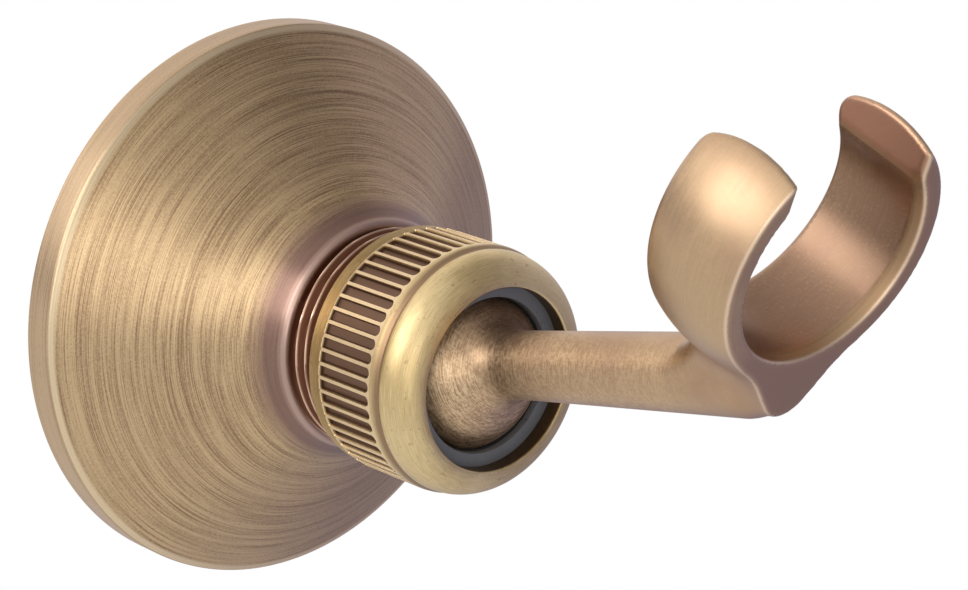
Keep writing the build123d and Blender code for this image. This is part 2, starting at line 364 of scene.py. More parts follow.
# A cone parallel to the bell meets the axis higher from its front than from the hollow behind it.
cone_top = math_node(tree, "MULTIPLY", lines["Radius"], slope_rise)
cone_top = math_node(tree, "SUBTRACT", cone_top, axes_of(tree, spot)[1])
in_front = math_node(tree, "GREATER_THAN", cone_top, MID_WALL * MM)
in_front = common(tree, in_front, math_node(tree, "GREATER_THAN", lines["Radius"], NECK_CLEAR_R * MM))
# Painted shade: the throat by the lip is darkened to a mauve brown, a painted reflection of dark
# surroundings.
throat = between(tree, lines["Radius"], (LIP_R + 2.2) * MM, (LIP_R + 0.7) * MM)
colour = stain(tree, colour, common(tree, throat, in_front), 0.85, THROAT_PAINTED_SHADE)
# Painted highlight: a thin pale pink line on the rounded lip.
lip = between(tree, lines["Radius"], (LIP_R + 0.1) * MM, (LIP_R - 0.1) * MM)
colour = stain(tree, colour, common(tree, lip, in_front), 0.6, LIP_PAINTED_HIGHLIGHT)
side = between(tree, lines["Radius"], (FLANGE_R - 0.2) * MM, (FLANGE_R - 0.04) * MM)
colour = stain(tree, colour, side, 0.5, RIM_SIDE)
# Painted highlight: a bright cream line on the rim's rounded edge, all round.
rim_highlight_in = between(tree, lines["Radius"], (FLANGE_R - 0.85) * MM, (FLANGE_R - 0.5) * MM)
rim_highlight_out = between(tree, lines["Radius"], (FLANGE_R - 0.05) * MM, (FLANGE_R - 0.2) * MM)
colour = stain(tree, colour, common(tree, rim_highlight_in, rim_highlight_out), 0.75, RIM_PAINTED_HIGHLIGHT)
roughness = between(tree, lines["Fine"], 0.3, 0.7, 0.33, 0.45)
grooves = math_node(tree, "ADD", math_node(tree, "MULTIPLY", lines["Coarse"], 0.6), lines["Fine"])
link_finish(tree, shader, colour, roughness, grooves, 0.16, METAL_RELIEF)
shader.inputs["Metallic"].default_value = 1.0
shader.inputs["Anisotropic"].default_value = 0.75
shader.inputs["Anisotropic Rotation"].default_value = 0.25
round_axis = place(tree, "ShaderNodeTangent", direction_type="RADIAL", axis="Y").outputs[0]
tree.links.new(round_axis, shader.inputs["Tangent"])

# The thread's valleys are painted a dark red-brown as painted shade, and its crests are painted bright as a
# painted highlight.
thread_brass, tree, shader, spot = new_material("thread_brass")
lines = use_group(tree, lathe_lines, {"Vector": spot, "Lines per metre": 9000.0, "Arc": 3.0})
crest = between(tree, lines["Radius"], (NECK_R - 0.2) * MM, (NECK_R - 0.02) * MM)
valley_shade = blend_colour(tree, lines["Fine"], (0.12, 0.048, 0.027), (0.24, 0.105, 0.062))
colour = blend_colour(tree, crest, valley_shade, (0.66, 0.46, 0.34))
roughness = between(tree, crest, 0.0, 1.0, 0.55, 0.32)
link_finish(tree, shader, colour, roughness, lines["Fine"], 0.15, METAL_RELIEF)
shader.inputs["Metallic"].default_value = 1.0

flange.data.materials.append(flange_brass)
flange.data.materials.append(thread_brass)
for face in flange.data.polygons:
    if thread_first - 1 <= face.index // FLANGE_SIDES < thread_last:
        face.material_index = 1
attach(flange, "flange")
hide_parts("wall_flange")

# Fixing screw: a countersunk steel wood screw through the middle of the flange into the wall.
# Rolled thread, bright zinc-plated finish; its head is hidden under the ball seat.
HEAD_TOP = 21.1
HEAD_R = 4.5
HEAD_EDGE = 0.1
RECESS_R = 2.4
RECESS_FLOOR_R = 1.2
RECESS_DEPTH = 1.6
PLAIN_R = 2.2
SHANK_R = 2.4
SCREW_SIDES = 48
SCREW_PITCH = 2.0
SCREW_DEPTH = 0.65
THREAD_TOP = 6.1
THREAD_RUNOUT = 0.3
SHANK_ROWS = 180
POINT_TOP = -19.9
POINT_LENGTH = 4.9
POINT_ROWS = 30
POINT_R = 0.45
POINT_DEPTH = 0.5
POINT_FADE = 32
SCREW_TIP = -24.9
screw_rows = [
    (0, HEAD_TOP - RECESS_DEPTH),
    (RECESS_FLOOR_R, HEAD_TOP - RECESS_DEPTH + HEAD_EDGE),
    (RECESS_R - 2 * HEAD_EDGE, HEAD_TOP - HEAD_EDGE),
    (RECESS_R, HEAD_TOP),
    (HEAD_R - HEAD_EDGE, HEAD_TOP),
    (HEAD_R, HEAD_TOP - HEAD_EDGE),
    (HEAD_R, HEAD_LOW),
    (PLAIN_R, HEAD_LOW - HEAD_R + PLAIN_R),
    (PLAIN_R, THREAD_TOP + THREAD_RUNOUT),
]
for step in range(SHANK_ROWS + 1):
    height = THREAD_TOP - step * (THREAD_TOP - POINT_TOP) / SHANK_ROWS
    screw_rows.append((thread_radius(SHANK_R, SCREW_DEPTH, SCREW_PITCH, 0.0, height), height))
for step in range(1, POINT_ROWS + 1):
    height = POINT_TOP - step * POINT_LENGTH / POINT_ROWS
    crest = SHANK_R - (SHANK_R - POINT_R) * step / POINT_ROWS
    depth = POINT_DEPTH * (1 - step / POINT_FADE)
    screw_rows.append((thread_radius(crest, depth, SCREW_PITCH, 0.0, height), height))
screw_rows.append((0, SCREW_TIP))
screw = turned("wood_screw", screw_rows, even_angles(SCREW_SIDES), False)
screw_steel, tree, shader, spot = new_material("screw_steel")
lines = use_group(tree, lathe_lines, {"Vector": spot, "Lines per metre": 7000.0, "Arc": 2.0})
cloud = use_group(tree, tarnish, {"Vector": spot, "Scale": 160.0})
colour = blend_colour(tree, cloud["Clouds"], (0.42, 0.42, 0.43), (0.66, 0.66, 0.65))
colour = blend_colour(tree, lines["Fine"], colour, (0.5, 0.5, 0.52))
roughness = between(tree, lines["Fine"], 0.3, 0.7, 0.26, 0.42)
link_finish(tree, shader, colour, roughness, lines["Coarse"], 0.2, METAL_RELIEF)
shader.inputs["Metallic"].default_value = 1.0
screw.data.materials.append(screw_steel)
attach(screw, "flange")
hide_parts("fixing_screw")

# Ball seat: a thin moulded nylon dish between the ball and the flange's pocket.
# It is hidden in use, and slides in the pocket as the arm tilts.
MOULDED_RELIEF = 0.05
seat_nylon, tree, shader, spot = new_material("seat_nylon")
cloud = use_group(tree, tarnish, {"Vector": spot, "Scale": 220.0})["Clouds"]
colour = blend_colour(tree, cloud, (0.66, 0.64, 0.58), (0.8, 0.79, 0.74))
roughness = between(tree, cloud, 0.3, 0.7, 0.42, 0.55)
link_finish(tree, shader, colour, roughness, cloud, 0.1, MOULDED_RELIEF)


def dress(node, material):
    """Gives a CAD solid that stays in view its finished material."""
    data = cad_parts[node].data
    data.materials.clear()
    data.materials.append(material)


dress("ball_seat", seat_nylon)

# Holder arm: ball, tapered arm and open clip cast in one piece of brass.
# It is linished by hand, so short scratches cross on the ball and arm, and the bore is brushed round.
BALL_R = 9.5
ARM_R_BALL = 3.5
ARM_R_CLIP = 4.05
ARM_FILLET = 4.5
ARM_TO_CLIP = 57.17
ARM_LIFT = math.radians(12.33)
NOSE_R = 3.35
NOSE_START = 44.17
NOSE_LENGTH = 4.5
NOSE_END = 51.17
CLIP_TURN = math.radians(32.92)
CLIP_DIP = ARM_LIFT - CLIP_TURN
CLIP_RISE = 10.92
CLIP_WIDTH = 11.0
CLIP_MID_R = 14.0
CLIP_FACE_R = 13.0
CLIP_BORE_R = 10.6
CLIP_BLEND = 3.4
CLIP_MOUTH = 0.5
CLIP_MOUTH_DEPTH = 1.4
GAP_HALF = 8.4
GAP_SLANT = 0.055
GAP_ROUND = 0.8
FRONT_INSET = 0.02
FRONT_ROUND = 0.22
BORE_ROUND = 0.16
BACK_ROUND = 1.5
BACK_BULGE = 0.9
BULGE_R = 12.4
BULGE_HALF = 1.8
WEB_DEPTH = 13.5
WEB_FILLET = 1.6
WEB_TIP_R = 2.4
WEB_SINK = 14.41
WEB_LEAST_SPAN = 0.05
WEB_MOST_LEAN = 0.98
ball_centre = Vector((0, -BALL_HEIGHT, 0)) * MM
arm_along = Vector((0, -math.cos(ARM_LIFT), math.sin(ARM_LIFT)))
arm_above = Vector((0, math.sin(ARM_LIFT), math.cos(ARM_LIFT)))
clip_centre = ball_centre + arm_along * ARM_TO_CLIP * MM + arm_above * CLIP_RISE * MM
clip_out = Vector((0, -math.cos(CLIP_DIP), math.sin(CLIP_DIP)))
clip_up = Vector((0, math.sin(CLIP_DIP), math.cos(CLIP_DIP)))
ball_depth = CLIP_RISE * math.sin(CLIP_TURN) - ARM_TO_CLIP * math.cos(CLIP_TURN)
ball_drop = -ARM_TO_CLIP * math.sin(CLIP_TURN) - CLIP_RISE * math.cos(CLIP_TURN)
fillet_r = ARM_R_BALL + ARM_FILLET
fillet_height = math.sqrt((BALL_R + ARM_FILLET) ** 2 - fillet_r**2)
crown = CLIP_MID_R - CLIP_FACE_R
crown_r = ((CLIP_WIDTH / 2) ** 2 + crown**2) / (2 * crown)


def ease(share):
    """A share from 0 to 1, with a soft start and end."""
    return share * share * (3 - 2 * share)


def round_join(a, b, r):
    """Two distances joined into one body, with a fillet where they meet."""
    return np.maximum(r, np.minimum(a, b)) - np.hypot(np.maximum(r - a, 0), np.maximum(r - b, 0))


def round_cut(a, b, r):
    """What two distances have in common, with its edge rounded."""
    return np.minimum(-r, np.maximum(a, b)) + np.hypot(np.maximum(r + a, 0), np.maximum(r + b, 0))


def stem_distance(out, off):
    """Distance to the ball and the arm, in mm, from a place along the arm and its distance off axis."""
    taper = np.clip((out - fillet_height) / (NOSE_START - fillet_height), 0, 1)
    nose = ease(np.clip((out - NOSE_START) / NOSE_LENGTH, 0, 1))
    rod_r = ARM_R_BALL + (ARM_R_CLIP - ARM_R_BALL) * taper - (ARM_R_CLIP - NOSE_R) * nose
    rod = np.hypot(off, np.maximum(out - NOSE_END, 0) + np.minimum(out, 0)) - rod_r
    fillet_off, fillet_out = off - fillet_r, out - fillet_height
    in_fillet = (fillet_out <= 0) & (fillet_height * fillet_off <= fillet_r * fillet_out)
    plain = np.minimum(np.hypot(off, out) - BALL_R, rod)
    return np.where(in_fillet, ARM_FILLET - np.hypot(fillet_off, fillet_out), plain)


def web_distance(x, depth, rise, out):
    """Distance to the web: at the front a drop from the rim to the arm's end, shrinking into the arm."""
    back = ease(np.clip(-depth / WEB_DEPTH, 0, 1))
    axis = (depth * math.sin(CLIP_TURN) - CLIP_RISE) / math.cos(CLIP_TURN)
    low = -WEB_SINK * (1 - back) + axis * back
    span = np.maximum(axis * back - low, WEB_LEAST_SPAN)
    high_r = (CLIP_FACE_R - WEB_FILLET) * (1 - back) + WEB_TIP_R * back
    lean = np.clip((WEB_TIP_R - high_r) / span, -WEB_MOST_LEAN, WEB_MOST_LEAN)
    level = np.sqrt(1 - lean * lean)
    side, up = np.abs(x), rise - low
    along = level * up - lean * side
    web = level * side + lean * up - WEB_TIP_R
    web = np.where(along < 0, np.hypot(side, up) - WEB_TIP_R, web)
    web = np.where(along > level * span, np.hypot(side, up - span) - high_r, web)
    return np.maximum(web, NOSE_START - WEB_DEPTH - out)


def arm_distance(x, depth, rise):
    """Distance to the casting's surface, in mm, across, along and up from the clip's front middle."""
    cos, sin = math.cos(CLIP_TURN), math.sin(CLIP_TURN)
    out = (depth - ball_depth) * cos + (rise - ball_drop) * sin
    off = np.hypot(x, (rise - ball_drop) * cos - (depth - ball_depth) * sin)
    ring = np.hypot(x, rise)
    barrel = np.hypot(ring - CLIP_MID_R + crown_r, depth + CLIP_WIDTH / 2) - crown_r
    bulge = BACK_BULGE * np.clip(1 - ((ring - BULGE_R) / BULGE_HALF) ** 2, 0, 1)
    barrel = round_cut(barrel, -(depth + CLIP_WIDTH + bulge), BACK_ROUND)
    body = round_join(stem_distance(out, off), barrel, CLIP_BLEND)
    body = round_join(body, web_distance(x, depth, rise, out), WEB_FILLET)
    body = round_cut(body, depth + FRONT_INSET, FRONT_ROUND)
    bore = CLIP_BORE_R + CLIP_MOUTH * np.clip(depth / CLIP_MOUTH_DEPTH + 1, 0, 1)
    body = round_cut(body, bore - ring, BORE_ROUND)
    gap = GAP_HALF - GAP_SLANT * np.where(x < 0, depth, 0)
    return round_cut(body, np.minimum(gap - np.abs(x), rise), GAP_ROUND)


def settle(points, rounds):
    """Moves points onto the casting's surface along its slope."""
    nudge, least_steep, longest_move = 0.02, 0.2, 0.3
    for _ in range(rounds):
        height = arm_distance(*points.T)
        rises = [
            arm_distance(*(points + step).T) - arm_distance(*(points - step).T) for step in np.eye(3) * nudge
        ]
        slope = np.stack(rises, 1) / (2 * nudge)
        steep = np.maximum((slope * slope).sum(1), least_steep)
        points = points - slope * np.clip(height / steep, -longest_move, longest_move)[:, None]
    return points


# The surface is found in a grid of small cells, one point a cell, then evened out along the surface.
CELL = 0.3
GRID_LOW = np.array((-14.7, -52.2, -50.4))
GRID_CELLS = np.array((98, 176, 206))
FIRST_SETTLE = 5
EVEN_ROUNDS = 8
EVEN_SETTLE = 2
grid_lines = [GRID_LOW[k] + CELL * np.arange(GRID_CELLS[k] + 1) for k in range(3)]
solid = arm_distance(*np.meshgrid(*grid_lines, indexing="ij")) < 0
corners = sum(
    solid[i : i + GRID_CELLS[0], j : j + GRID_CELLS[1], k : k + GRID_CELLS[2]].astype(np.int8)
    for i in (0, 1) for j in (0, 1) for k in (0, 1)
)
skin = (corners > 0) & (corners < 8)
number = np.full(skin.shape, -1)
number[skin] = np.arange(skin.sum())
points = settle(GRID_LOW + CELL * (np.argwhere(skin) + 0.5), FIRST_SETTLE)
quads = []
for axis in range(3):
    turned_solid = np.moveaxis(solid, axis, 0)
    turned_number = np.moveaxis(number, axis, 0)
    at = np.argwhere(turned_solid[1:] != turned_solid[:-1])
    inside = (at[:, 1:] > 0).all(1) & (at[:, 1:] < turned_number.shape[1:]).all(1)
    i, j, k = at[inside].T
    around = ((-1, -1), (0, -1), (0, 0), (-1, 0))
    quads.append(np.stack([turned_number[i, j + dj, k + dk] for dj, dk in around], 1))
quads = np.concatenate(quads)
corner_points = quads.T.ravel()
next_points = np.roll(quads, -1, axis=1).T.ravel()
starts = np.concatenate((corner_points, next_points))
ends = np.concatenate((next_points, corner_points))
shares = np.bincount(starts, minlength=len(points))


def neighbour_middle(points):
    """The middle of each point's neighbours."""
    sums = [np.bincount(starts, points[ends, k], len(points)) for k in range(3)]
    return np.stack([total / shares for total in sums], 1)


for _ in range(EVEN_ROUNDS):
    points = settle(points + 0.5 * (neighbour_middle(points) - points), EVEN_SETTLE)

# The hollow between web and arm is rubbed smooth on both sides.
CREASE_LOW = np.array((3.9, -11.8, -18.6))
CREASE_HIGH = np.array((5.0, -9.0, -14.2))
CREASE_SIZE = 1.9
RUB_ROUNDS = 60
crease = CREASE_HIGH - CREASE_LOW
from_low = np.abs(points) * (1, -1, -1) - CREASE_LOW
from_low -= np.clip(from_low @ crease / (crease @ crease), 0, 1)[:, None] * crease
rubbed_share = 0.5 * np.exp(-((from_low**2).sum(1) / CREASE_SIZE**2))[:, None]
for _ in range(RUB_ROUNDS):
    points = points + rubbed_share * (neighbour_middle(points) - points)
spots = [
    clip_centre + (Vector((x, 0, 0)) + clip_out * depth + clip_up * rise) * MM
    for x, depth, rise in points.tolist()
]
arm = new_piece("cast_arm", spots, quads.tolist())

# Hand brushing: three sets of fine short scratches, crossed at small angles over the Y axis.
hand_brushing, given, out = new_group(
    "hand_brushing",
    [("Vector", "NodeSocketVector", None), ("Scale", "NodeSocketFloat", 1.0)],
    ["Scratches", "Sheen"],
)
strokes = []
for lean, stretch in (
    (0.35, (4200.0, 330.0, 4200.0)),
    (-0.5, (5200.0, 420.0, 5200.0)),
    (1.25, (4600.0, 380.0, 4600.0)),
):
    turn = {"Vector": given["Vector"], "Rotation": (lean, 0.4 * lean, lean)}
    aimed = place(hand_brushing, "ShaderNodeMapping", turn).outputs[0]
    stretched = place(hand_brushing, "ShaderNodeMapping", {"Vector": aimed, "Scale": stretch}).outputs[0]
    strokes.append(noise(hand_brushing, stretched, given["Scale"], 1.0))
crossed = math_node(hand_brushing, "ADD", strokes[0], strokes[1])
crossed = math_node(hand_brushing, "ADD", crossed, strokes[2])
hand_brushing.links.new(math_node(hand_brushing, "DIVIDE", crossed, 3.0), out["Scratches"])
hand_brushing.links.new(common(hand_brushing, strokes[0], strokes[1]), out["Sheen"])

ARM_DARK = (0.33, 0.213, 0.124)
ARM_BRIGHT = (0.69, 0.505, 0.315)
ARM_PLAIN = (0.51, 0.355, 0.215)
ARM_RED = (0.37, 0.222, 0.15)
BORE_PAINTED_SHADE = (0.22, 0.125, 0.088)
MOUTH_BRASS = (0.36, 0.235, 0.125)
END_PAINTED_REFLECTION = (0.37, 0.175, 0.115)
SCRATCH_BRIGHT = (0.78, 0.59, 0.38)
ARM_WORN_AND_HIGHLIGHT = (0.84, 0.66, 0.46)
FRONT_PAINTED_HIGHLIGHT = (0.8, 0.62, 0.47)
BORE_REACH = 10.75
arm_brass, tree, shader, spot = new_material("arm_brass")
strokes = use_group(tree, hand_brushing, {"Vector": spot, "Scale": 1.0})
cloud = use_group(tree, tarnish, {"Vector": spot, "Scale": 42.0})
edge_mask = use_group(tree, edge_wear_and_highlight, {"Width": 0.0005, "Gain": 22.0})["Worn"]


def laid_along(tree, spot, origin, tilt):
    """Coordinates from an origin, with Y along an axis that is tilted up from straight out."""
    inputs = {"Vector": spot, "Location": origin, "Rotation": (-tilt, 0, 0)}
    return place(tree, "ShaderNodeMapping", inputs, vector_type="TEXTURE").outputs[0]


round_clip = laid_along(tree, spot, clip_centre, CLIP_DIP)
round_arm = laid_along(tree, spot, ball_centre, ARM_LIFT)
ring_lines = use_group(tree, lathe_lines, {"Vector": round_clip, "Lines per metre": 7000.0, "Arc": 2.6})
arm_lines = use_group(tree, lathe_lines, {"Vector": round_arm, "Lines per metre": 5600.0, "Arc": 2.6})
past_ball = axes_of(tree, round_arm)[1]
across, into, up = axes_of(tree, round_clip)
near_clip = between(tree, past_ball, -36.0 * MM, -44.0 * MM)
on_ball = between(tree, past_ball, -13.0 * MM, -8.0 * MM)
in_bore = common(tree, math_node(tree, "LESS_THAN", ring_lines["Radius"], BORE_REACH * MM), near_clip)
brushed = place(tree, "ShaderNodeMix", {0: near_clip, 2: arm_lines["Fine"], 3: ring_lines["Fine"]})
marks = weighted(tree, (brushed.outputs[0], 0.58), (strokes["Scratches"], 0.42))
colour = blend_colour(tree, between(tree, marks, 0.44, 0.56), ARM_DARK, ARM_BRIGHT)
mark_depth = between(tree, past_ball, -22.0 * MM, -47.0 * MM, 0.5, 0.14)
mark_depth = math_node(tree, "ADD", mark_depth, math_node(tree, "MULTIPLY", on_ball, 0.5))
mark_depth = math_node(tree, "ADD", mark_depth, math_node(tree, "MULTIPLY", in_bore, 0.4), clamp=True)
colour = blend_colour(tree, mark_depth, ARM_PLAIN, colour)
colour = stain(tree, colour, between(tree, cloud["Clouds"], 0.42, 0.62), 0.6, ARM_RED)
# Painted shade: the inside of the bore is darkened.
colour = stain(tree, colour, in_bore, 0.6, BORE_PAINTED_SHADE)
mouth = math_node(tree, "LESS_THAN", ring_lines["Radius"], (CLIP_BORE_R + CLIP_MOUTH + 0.04) * MM)
near_front = between(tree, into, (CLIP_MOUTH_DEPTH + 0.1) * MM, CLIP_MOUTH_DEPTH * MM)
colour = stain(tree, colour, common(tree, mouth, near_front), 0.6, MOUTH_BRASS)
# Painted reflection: the end faces at the gap are tinted a reddish copper, as the brass they face shows in
# them.
on_end = math_node(tree, "ABSOLUTE", across)
on_end = between(tree, on_end, (GAP_HALF + 0.3) * MM, (GAP_HALF + 0.1) * MM)
on_end = common(tree, on_end, between(tree, up, 5.5 * MM, 6.2 * MM))
colour = stain(tree, colour, on_end, 0.8, END_PAINTED_REFLECTION)
scratched = common(tree, between(tree, strokes["Sheen"], 0.33, 0.43), mark_depth)
colour = stain(tree, colour, scratched, 0.14, SCRATCH_BRIGHT)
# Wear and painted highlight: the arm's sharp edges are rubbed bright and brightened further as painted
# highlights.
colour = stain(tree, colour, edge_mask, 0.8, ARM_WORN_AND_HIGHLIGHT)
# Painted highlight: a thin pale line along the front face's edge.
edge_start = between(tree, into, 0.05 * MM, 0.1 * MM)
edge_end = between(tree, into, 0.34 * MM, 0.2 * MM)
colour = stain(tree, colour, common(tree, edge_start, edge_end), 0.6, FRONT_PAINTED_HIGHLIGHT)
link_finish(tree, shader, colour, between(tree, marks, 0.38, 0.62, 0.36, 0.48), marks, 0.16, METAL_RELIEF)
shader.inputs["Metallic"].default_value = 1.0
shader.inputs["Anisotropic"].default_value = 0.45
shader.inputs["Anisotropic Rotation"].default_value = 0.25


def way_round(tree, spot, centre, axis):
    """The direction round an axis through a centre."""
    return vector_node(tree, "CROSS_PRODUCT", vector_node(tree, "SUBTRACT", spot, centre), axis)


ways = {
    0: near_clip,
    4: way_round(tree, spot, ball_centre, arm_along),
    5: way_round(tree, spot, clip_centre, clip_out),
}
way = place(tree, "ShaderNodeMix", ways, data_type="VECTOR").outputs[1]
way = vector_node(tree, "NORMALIZE", way)
to_world = {"vector_type": "VECTOR", "convert_from": "OBJECT", "convert_to": "WORLD"}
way = place(tree, "ShaderNodeVectorTransform", {0: way}, **to_world).outputs[0]
tree.links.new(way, shader.inputs["Tangent"])
arm.data.materials.append(arm_brass)
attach(arm, "arm")
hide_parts("holder_arm")

# Friction ring: a moulded black rubber ring that grips the front of the ball.
# The slip washer covers it, and the nut squeezes both against the ball.
ring_rubber, tree, shader, spot = new_material("ring_rubber")
cloud = use_group(tree, tarnish, {"Vector": spot, "Scale": 240.0})["Clouds"]
colour = blend_colour(tree, cloud, (0.012, 0.012, 0.013), (0.03, 0.03, 0.031))
roughness = between(tree, cloud, 0.3, 0.7, 0.6, 0.75)
link_finish(tree, shader, colour, roughness, cloud, 0.15, MOULDED_RELIEF)
dress("friction_ring", ring_rubber)

# Slip washer: a flat dark grey plastic ring, seen round the ball inside the nut's mouth.
# It is punched from sheet, so its edges are slightly rounded and its face is dull.
WASHER_FRONT = 38.15
WASHER_BACK = 37.15
WASHER_HOLE = 8.25
WASHER_R = 10.9
WASHER_EDGE = 0.1
WASHER_SIDES = 192
HOLE_EDGE = 0.15
washer_rows = [
    (WASHER_HOLE, WASHER_BACK + HOLE_EDGE),
    (WASHER_HOLE + HOLE_EDGE, WASHER_BACK),
    (WASHER_R - WASHER_EDGE, WASHER_BACK),
    (WASHER_R, WASHER_BACK + WASHER_EDGE),
    (WASHER_R, WASHER_FRONT - WASHER_EDGE),
    (WASHER_R - WASHER_EDGE, WASHER_FRONT),
    (WASHER_HOLE + 0.25, WASHER_FRONT),
    (WASHER_HOLE + 0.07, WASHER_FRONT - 0.05),
    (WASHER_HOLE, WASHER_FRONT - 0.2),
]
washer = turned("flat_washer", washer_rows, even_angles(WASHER_SIDES), True)
washer_plastic, tree, shader, spot = new_material("washer_plastic")
lines = use_group(tree, lathe_lines, {"Vector": spot, "Lines per metre": 5000.0, "Arc": 4.0})
cloud = use_group(tree, tarnish, {"Vector": spot, "Scale": 200.0})
colour = blend_colour(tree, cloud["Clouds"], (0.105, 0.108, 0.12), (0.18, 0.185, 0.202))
colour = stain(tree, colour, cloud["Specks"], 0.6, (0.025, 0.026, 0.03))
roughness = between(tree, lines["Fine"], 0.3, 0.7, 0.38, 0.52)
link_finish(tree, shader, colour, roughness, lines["Fine"], 0.12, METAL_RELIEF)
washer.data.materials.append(washer_plastic)
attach(washer, "washer")
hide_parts("slip_washer")

# Knurled nut: turned brass with straight slots milled round its band and a rounded mouth.
# It screws onto the neck by hand and clamps the ball; its dome is bright brass and the ridges of its band
# are painted lighter.
NUT_R = 13.05
NUT_BACK = 24.95
NUT_EDGE = 0.25
NUT_BORE = 12.05
BORE_CHAMFER = 0.45
LAND_END = 35.9
STEP_END = 36.42
STEP_IN = 0.07
GROOVE_IN = 0.06
DOME_R = 3.3
DOME_RISE = 3.6
DOME_ROWS = 14
MOUTH_R = 9.67
MOUTH_ROUND = 0.3
SHOULDER = 38.2
CHAMBER_R = 11.2
CHAMBER_BACK = 31.9
SLOTS = 56
SLOT_WIDTH = 1.06
SLOT_DEPTH = 0.48
SLOT_BACK = 26.95
SLOT_FRONT = 34.85
SLOT_OFFSETS = (0.0, 0.2, 0.34, 0.4, 0.43, 0.455, 0.48, 0.51, 0.56, 0.64)
SLOT_WALL = 0.1
SLOT_BRINK = 0.03
KNURL_RISE = 0.2
KNURL_LEAD = 0.4
BAND_HEIGHTS = (28.5, 30.0, 31.5, 33.0, 34.2)
END_ROWS = 10
END_SPAN = 0.6
END_LEAD = 0.06
slot_pitch = 2 * math.pi * NUT_R / SLOTS
rim_r = NUT_R + KNURL_RISE
step_r = NUT_R - STEP_IN


def slotted(height):
    """Radius round the knurled band at one height: steep slots, square behind and round in front."""
    beyond = max(height - SLOT_FRONT + SLOT_WIDTH / 2, 0.0)
    raised = min(max((height - SLOT_BACK) / KNURL_LEAD + 1.0, 0.0), 1.0)

    def radius(angle):
        across = (angle * SLOTS / (2 * math.pi) % 1.0 - 0.5) * slot_pitch
        inside = min(SLOT_WIDTH / 2 - math.hypot(across, beyond), height - SLOT_BACK)
        cut = min(max((inside + SLOT_BRINK) / SLOT_WALL, 0.0), 1.0)
        return NUT_R + KNURL_RISE * raised - SLOT_DEPTH * ease(cut)

    return radius


slot_across = [-x for x in reversed(SLOT_OFFSETS[1:])] + list(SLOT_OFFSETS)
nut_angles = [
    2 * math.pi * (slot + 0.5 + offset / slot_pitch) / SLOTS
    for slot in range(SLOTS)
    for offset in slot_across
]
end_steps = [END_SPAN * step / END_ROWS for step in range(END_ROWS + 1)]
band_heights = [SLOT_BACK - KNURL_LEAD]
band_heights += [SLOT_BACK - END_LEAD + step for step in end_steps]
band_heights += BAND_HEIGHTS
band_heights += [SLOT_FRONT + END_LEAD - END_SPAN + step for step in end_steps]
dome_x = step_r - DOME_R
dome_end = MOUTH_R + MOUTH_ROUND
dome_lean = math.acos((dome_end - dome_x) / DOME_R)
dome_top = STEP_END + DOME_RISE * math.sin(dome_lean)
nut_rows = [(NUT_BORE + BORE_CHAMFER, NUT_BACK), (NUT_R - NUT_EDGE, NUT_BACK)]
nut_rows += bend(nut_rows[-1], (1, 0), (NUT_R, NUT_BACK + NUT_EDGE), 3)
nut_rows += [(slotted(height), height) for height in band_heights]
nut_rows += [
    (rim_r, SLOT_FRONT + 0.25),
    (rim_r - 0.03, LAND_END - 0.45),
    (rim_r - 0.1, LAND_END - 0.25),
    (step_r - GROOVE_IN, LAND_END + 0.1),
    (step_r - GROOVE_IN, LAND_END + 0.3),
    (step_r, STEP_END),
]
for step in range(1, DOME_ROWS + 1):
    lean = dome_lean * step / DOME_ROWS
    nut_rows.append((dome_x + DOME_R * math.cos(lean), STEP_END + DOME_RISE * math.sin(lean)))
nut_rows += bend((dome_end, dome_top), (-1, 0), (MOUTH_R, dome_top - MOUTH_ROUND), 4)
nut_rows += [
    (MOUTH_R, SHOULDER),
    (CHAMBER_R, SHOULDER),
    (CHAMBER_R, CHAMBER_BACK),
    (NUT_BORE, CHAMBER_BACK),
    (NUT_BORE, NUT_BACK + BORE_CHAMFER),
]
nut = turned("knurled_ring_nut", nut_rows, nut_angles, True)

NUT_DARK = (0.5, 0.37, 0.182)
NUT_BRIGHT = (0.72, 0.57, 0.32)
NUT_FLECK = (0.27, 0.18, 0.085)
NUT_SPECK = (0.24, 0.155, 0.07)
RIDGE_BRIGHT = (0.80, 0.62, 0.42)
NUT_WORN = (0.86, 0.69, 0.45)
STEP_PAINTED_SHADE = (0.235, 0.14, 0.085)
INNER_LIP_PAINTED_SHADE = (0.085, 0.05, 0.03)
nut_brass, tree, shader, spot = new_material("nut_brass")
lines = use_group(tree, lathe_lines, {"Vector": spot, "Lines per metre": 8000.0, "Arc": 3.0})
cloud = use_group(tree, tarnish, {"Vector": spot, "Scale": 70.0})
flecks = use_group(tree, tarnish, {"Vector": spot, "Scale": 290.0})["Specks"]
edge_mask = use_group(tree, edge_wear_and_highlight, {"Width": 0.0002, "Gain": 4.0})["Worn"]
tone = weighted(tree, (lines["Fine"], 0.45), (cloud["Clouds"], 0.5))
colour = blend_colour(tree, between(tree, tone, 0.4, 0.56), NUT_DARK, NUT_BRIGHT)
colour = stain(tree, colour, flecks, 0.65, NUT_FLECK)
colour = stain(tree, colour, cloud["Specks"], 0.4, NUT_SPECK)
height = math_node(tree, "MULTIPLY", axes_of(tree, spot)[1], -1.0)
before_land = math_node(tree, "LESS_THAN", height, (SLOT_FRONT + 0.2) * MM)
past_back = math_node(tree, "GREATER_THAN", height, (SLOT_BACK - 0.2) * MM)
on_band = common(tree, before_land, past_back)
# The ridges between the slots are painted lighter.
ridge = common(tree, between(tree, lines["Radius"], NUT_R * MM, rim_r * MM), on_band)
colour = stain(tree, colour, ridge, 0.6, RIDGE_BRIGHT)
colour = stain(tree, colour, edge_mask, 0.6, NUT_WORN)
